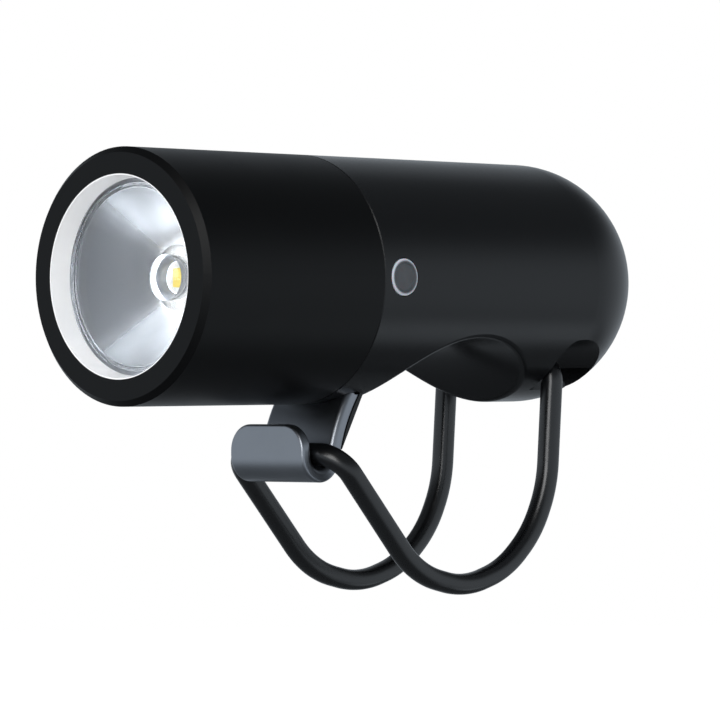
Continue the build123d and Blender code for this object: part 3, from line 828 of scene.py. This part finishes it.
class HEADLIGHT_OT_button(bpy.types.Operator):
    """Makes the push button as a turned surface: a hollowed face, a raised edge and a flange"""

    bl_idname = "headlight.button"
    bl_label = "Make button"

    def execute(self, context):
        size = sizes("button")
        low, high = span("power_button")
        inner, face = float(low[0]), float(high[0])
        flange_radius = float(high[2] - low[2]) / 2
        dish = face - size.dish
        shoulder = inner + size.flange
        rise = size.face_radius - size.rim
        outline = rounded(
            [
                (0.0, inner),
                (flange_radius, inner),
                (flange_radius, shoulder),
                (size.face_radius, shoulder),
                (size.face_radius, face),
                (rise, face),
                (rise - size.rim / 2, dish),
                (0.0, dish),
            ],
            [size.edge / 2, size.edge / 2, size.edge / 2, size.edge, size.edge / 2, size.edge],
            size.edge / 5,
        )
        outline = filled(outline, BUTTON_STEP)
        middle = (0.0, float(low[1] + high[1]) / 2, float(low[2] + high[2]) / 2)
        points, faces = lathe(outline, BUTTON_SIDES, middle, (1.0, 0.0, 0.0))
        piece = make_piece("button_cap", points, faces, "button_translucent", "button", BUTTON_CREASE)
        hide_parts("power_button")
        dress("button_gasket", "tact_switch", "switch_plunger")
        return {"FINISHED"}


class HEADLIGHT_OT_body(bpy.types.Operator):
    """Dresses the moulded body, the port's cover and its tab"""

    bl_idname = "headlight.body"
    bl_label = "Dress body"

    def execute(self, context):
        dress("body_shell", "seam_seal", "port_cover", "cover_anchor", "usb_port", "usb_tongue")
        return {"FINISHED"}


class HEADLIGHT_OT_hook(bpy.types.Operator):
    """Dresses the grey hook and its pin"""

    bl_idname = "headlight.hook"
    bl_label = "Dress hook"

    def execute(self, context):
        dress("strap_hook", "hook_pin")
        return {"FINISHED"}


class HEADLIGHT_OT_band(bpy.types.Operator):
    """Makes the rubber band: one section swept round a closed route with rounded corners"""

    bl_idname = "headlight.band"
    bl_label = "Make band"

    def execute(self, context):
        size = sizes("band")
        half = size.spread / 2
        unit = size.saddle_radius
        corners = [(depth * unit, up * unit) for depth, up in BAND_CORNERS]
        side = [(size.rear_depth, size.rear_rise), *corners, (-size.front_depth, size.front_rise)]
        legs = np.diff(np.array(side), axis=0)
        runs = np.linalg.norm(legs, axis=1)
        agreement = (legs[1:] * legs[:-1]).sum(-1) / (runs[1:] * runs[:-1])
        corner_turn = np.arccos(np.clip(agreement, -1, 1))
        bends = size.bend_share * np.minimum(runs[1:], runs[:-1]) / np.tan(corner_turn / 2)
        route = [(0.0, *side[0]), *[(half, *point) for point in side], (0.0, *side[-1])]
        line = rounded(route, [size.rear_bend, *bends, size.front_bend], BAND_STEP)
        # The section's axes: one square to the route in the side view, the other square to both.
        # A crossing has no direction in the side view, so it takes that of the leg beside it.
        tangent = np.gradient(line, axis=0)
        tangent /= np.linalg.norm(tangent, axis=1)[:, None]
        flat = tangent * (0.0, 1.0, 1.0)
        in_view = np.linalg.norm(flat, axis=1)[:, None]
        beside = np.where(np.arange(len(line))[:, None] < len(line) / 2, legs[0], legs[-1])
        beside = np.concatenate([np.zeros((len(line), 1)), beside], 1)
        flat = np.where(in_view > 0.05, flat, beside)
        flat /= np.linalg.norm(flat, axis=1)[:, None]
        second = np.cross((1.0, 0.0, 0.0), flat)
        first = np.cross(second, tangent)
        # A superellipse: each axis takes |cos| or |sin| to the power 2 / squareness, with its sign
        angle = np.arange(BAND_SIDES) * (2 * pi / BAND_SIDES)
        power = 2 / size.squareness
        cosine, sine = np.cos(angle), np.sin(angle)
        across = np.sign(cosine) * np.abs(cosine) ** power * size.section / 2
        up = np.sign(sine) * np.abs(sine) ** power * size.section / 2
        right = line[:, None] + across[:, None] * first[:, None] + up[:, None] * second[:, None]
        left = right[::-1] * (-1.0, 1.0, 1.0)
        points = np.concatenate([right, left[1:]])
        faces = grid_faces(len(points), BAND_SIDES, True)
        piece = make_piece("rubber_band", points, faces, "band_rubber")
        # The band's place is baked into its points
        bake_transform(piece)
        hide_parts("band")
        return {"FINISHED"}


class HEADLIGHT_OT_inner_parts(bpy.types.Operator):
    """Dresses the boards, the cell and what holds them"""

    bl_idname = "headlight.inner_parts"
    bl_label = "Dress inner parts"

    def execute(self, context):
        driver = ["driver_board", "inductor", "driver_chip", "board_header"]
        charger = ["main_board", "status_led", "charge_chip"]
        cell = ["battery_cell", "cell_cradle", "cell_top_pad", "cell_tab_front", "cell_tab_rear"]
        dress(*driver, *charger, *cell, "standoff_upper", "standoff_lower")
        return {"FINISHED"}


def look_at(place, target, roll=0.0):
    """A matrix that stands at a place and looks at a target, turned by a roll."""
    place, target = Vector(place), Vector(target)
    turned = (place - target).to_track_quat("Z", "Y").to_matrix().to_4x4()
    return Matrix.Translation(place) @ turned @ Matrix.Rotation(roll, 4, "Z")


def lamp(name, place, target, power, width):
    """A soft square lamp."""
    light = bpy.data.lights.new(name, "AREA")
    light.shape = "SQUARE"
    light.size, light.energy = width, power
    made = bpy.data.objects.new(name, light)
    made.matrix_world = look_at(place, target)
    bpy.context.scene.collection.objects.link(made)


def set_world(stage):
    """A white room that each kind of ray sees at its own level.

    The eye sees plain white, and matte surfaces see the ambient level. Straight through the optic
    the room has the window's level. What lies behind the optic sees the inside level, brighter on
    the left. Gloss sees the gloom, plus the horizon's level times
    exp(-((rise - middle) / reach) ** 4), plus for each soft light its level times
    exp(-((1 - cos(angle from it)) / (1 - cos(half width))) ** 2).
    """
    world = bpy.data.worlds.new("studio")
    world.cycles.sampling_method = "NONE"
    bpy.context.scene.world = world
    tree = Tree(world)
    path = tree.nodes.new("ShaderNodeLightPath")
    seen, gloss, through, bounces = [
        Value(tree, path.outputs[name])
        for name in ("Is Camera Ray", "Is Glossy Ray", "Is Transmission Ray", "Diffuse Depth")
    ]
    right, depth, up = tree.axes(tree.node("ShaderNodeTexCoord", output="Generated"))
    wall = ((up - HORIZON_MIDDLE) / HORIZON_REACH).fourth_fall()
    shown = wall * stage.horizon + stage.gloom
    for turned, tilt, width, level in SOFT_LIGHTS:
        turned, tilt, width = radians(turned), radians(tilt), radians(width)
        aside, above = sin(tilt) * cos(turned), sin(tilt) * sin(turned)
        toward = right * aside + depth * cos(tilt) + up * above
        off = (1.0 - toward) / (1.0 - cos(width))
        shown = shown + (off * off * -1.0).exp() * level
    first = 1.0 - bounces.least(1.0)
    from_left = (right * LEFT_SIDE[0] + depth * LEFT_SIDE[1]).most(0.0)
    within = (from_left * stage.side + OTHER_SIDE) * stage.inside
    later = gloss.most(through) * within + (1.0 - through) * stage.ambient
    matte = first * stage.ambient + (1.0 - first) * later
    window = through * first
    mirrored = gloss * first
    level = mirrored * shown + (1.0 - mirrored) * matte
    level = window * stage.window + (1.0 - window) * level
    level = seen + (1.0 - seen) * level
    tone = tree.mix(mirrored, (1.0, 1.0, 1.0), SOFT_TONE)
    shader = tree.node("ShaderNodeBackground", {}, {"Color": tone, "Strength": level})
    tree.output(shader, "ShaderNodeOutputWorld")


def floor_material():
    """A pale floor, lifted to white for the eye, that fades out and is clear from below."""
    made, tree = material("floor_white", (1.0, 1.0, 1.0))
    right, depth, up = tree.axes(tree.place())
    reach = (right * right + depth * depth) ** 0.5
    away = ((reach - FADE_START) / FADE_LENGTH).most(0.0).least(1.0)
    below = Value(tree, tree.nodes.new("ShaderNodeNewGeometry").outputs["Backfacing"])
    path = tree.nodes.new("ShaderNodeLightPath")
    seen = Value(tree, path.outputs["Is Camera Ray"])
    paper = tree.node("ShaderNodeBsdfDiffuse", {}, {"Color": FLOOR_TONE})
    white = (1.0, 1.0, 1.0, 1.0)
    lift = tree.node("ShaderNodeEmission", {}, {"Color": white, "Strength": seen * FLOOR_LIFT})
    near = tree.node("ShaderNodeAddShader", {}, {0: paper, 1: lift})
    clear = tree.node("ShaderNodeBsdfTransparent")
    tree.output(tree.node("ShaderNodeMixShader", {}, {0: away.most(below), 1: near, 2: clear}))
    return made


class HEADLIGHT_OT_stage(bpy.types.Operator):
    """Sets up the white room, the lamp, the floor and the camera"""

    bl_idname = "headlight.stage"
    bl_label = "Set stage"

    def execute(self, context):
        stage = sizes("stage")
        scene = context.scene
        scene.view_settings.view_transform = "Standard"
        set_world(stage)
        lamp("key", LAMP_PLACE, (0.0, 0.0, AXIS_HEIGHT), stage.key, LAMP_WIDTH)
        low, high = span("band")
        drop = float(low[2]) - stage.floor_drop
        angle = np.arange(FLOOR_SIDES) * (2 * pi / FLOOR_SIDES)
        ring = np.stack([np.cos(angle), np.sin(angle), np.zeros(FLOOR_SIDES)], -1)
        points = np.array(FLOOR_RINGS)[:, None, None] * ring[None] + np.array((0.0, 0.0, drop))
        faces = grid_faces(len(FLOOR_RINGS), FLOOR_SIDES, True)[:, ::-1].tolist()
        middle = list(range(FLOOR_SIDES))
        mesh = bpy.data.meshes.new("floor")
        mesh.from_pydata(points.reshape(-1, 3).tolist(), [], [*faces, middle])
        mesh.materials.append(floor_material())
        floor = bpy.data.objects.new("floor", mesh)
        scene.collection.objects.link(floor)
        floor.visible_glossy = False
        camera = bpy.data.cameras.new("camera")
        camera.sensor_width = 36.0
        camera.lens = stage.lens
        camera.clip_start = 0.01
        aim = np.array((0.0, stage.aim_depth, stage.aim_height))
        flat = stage.camera_distance * cos(stage.camera_rise)
        rise = stage.camera_distance * sin(stage.camera_rise)
        place = aim + (flat * sin(stage.camera_turn), -flat * cos(stage.camera_turn), rise)
        made = bpy.data.objects.new("camera", camera)
        made.matrix_world = look_at(place, aim, stage.camera_roll)
        scene.collection.objects.link(made)
        scene.camera = made
        return {"FINISHED"}


class HEADLIGHT_PT_panel(bpy.types.Panel):
    """Lists the settings and the steps"""

    bl_idname = "HEADLIGHT_PT_panel"
    bl_label = "Headlight"
    bl_space_type = "VIEW_3D"
    bl_region_type = "UI"
    bl_category = "Headlight"

    def draw(self, context):
        for name, group in SETTINGS.items():
            box = self.layout.box()
            box.label(text=name.capitalize())
            for field in group.__annotations__:
                box.prop(sizes(name), field)
        for step in STEPS:
            self.layout.operator(step.bl_idname)


SETTINGS = {
    "stage": StageSizes,
    "finish": FinishColours,
    "band": BandSizes,
    "optic": OpticSizes,
    "button": ButtonSizes,
}
STEPS = [
    HEADLIGHT_OT_finishes,
    HEADLIGHT_OT_head,
    HEADLIGHT_OT_optic,
    HEADLIGHT_OT_light_source,
    HEADLIGHT_OT_button,
    HEADLIGHT_OT_body,
    HEADLIGHT_OT_hook,
    HEADLIGHT_OT_band,
    HEADLIGHT_OT_inner_parts,
    HEADLIGHT_OT_stage,
]


def register():
    """Adds the settings, the steps and the panel to Blender."""
    for group in SETTINGS.values():
        bpy.utils.register_class(group)
    for step in [*STEPS, HEADLIGHT_PT_panel]:
        bpy.utils.register_class(step)
    for name, group in SETTINGS.items():
        setattr(bpy.types.Scene, "headlight_" + name, PointerProperty(type=group))


def unregister():
    """Takes them out again, last first."""
    for name in SETTINGS:
        delattr(bpy.types.Scene, "headlight_" + name)
    for step in [HEADLIGHT_PT_panel, *reversed(STEPS)]:
        bpy.utils.unregister_class(step)
    for group in reversed(list(SETTINGS.values())):
        bpy.utils.unregister_class(group)


def main():
    """Runs every step in order."""
    register()
    for step in STEPS:
        group, name = step.bl_idname.split(".")
        getattr(getattr(bpy.ops, group), name)()


if __name__ == "__main__":
    main()
